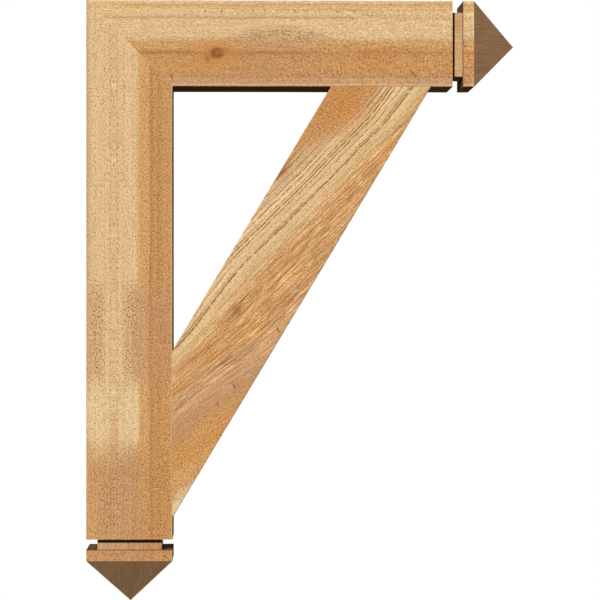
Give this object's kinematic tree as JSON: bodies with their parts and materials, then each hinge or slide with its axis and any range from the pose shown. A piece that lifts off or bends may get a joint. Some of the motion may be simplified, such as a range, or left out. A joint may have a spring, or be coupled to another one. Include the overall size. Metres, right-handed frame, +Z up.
{
  "type": "eave bracket",
  "caption": "Square timber eave bracket: a leg on the wall and an arm under the eave, mitred together, with grooved, pointed ends and a diagonal brace between them.",
  "frame": {"origin": "middle of the leg's straight back face, the face that goes on the wall", "axes": "+X out of the wall along the arm, +Y across the timber, +Z up along the leg to the face under the eave"},
  "size_m": [0.508, 0.1016, 0.7112],
  "materials": {
    "sawn_timber": "matte",
    "hardwood": "matte",
    "plated_steel": "satin"
  },
  "bodies": {
    "root": {"leg": "sawn_timber", "arm": "sawn_timber", "brace": "sawn_timber", "mitre_dowels": "hardwood", "mitre_screws": "plated_steel", "brace_foot_screws": "plated_steel", "brace_head_screws": "plated_steel"}
  },
  "joints": []
}
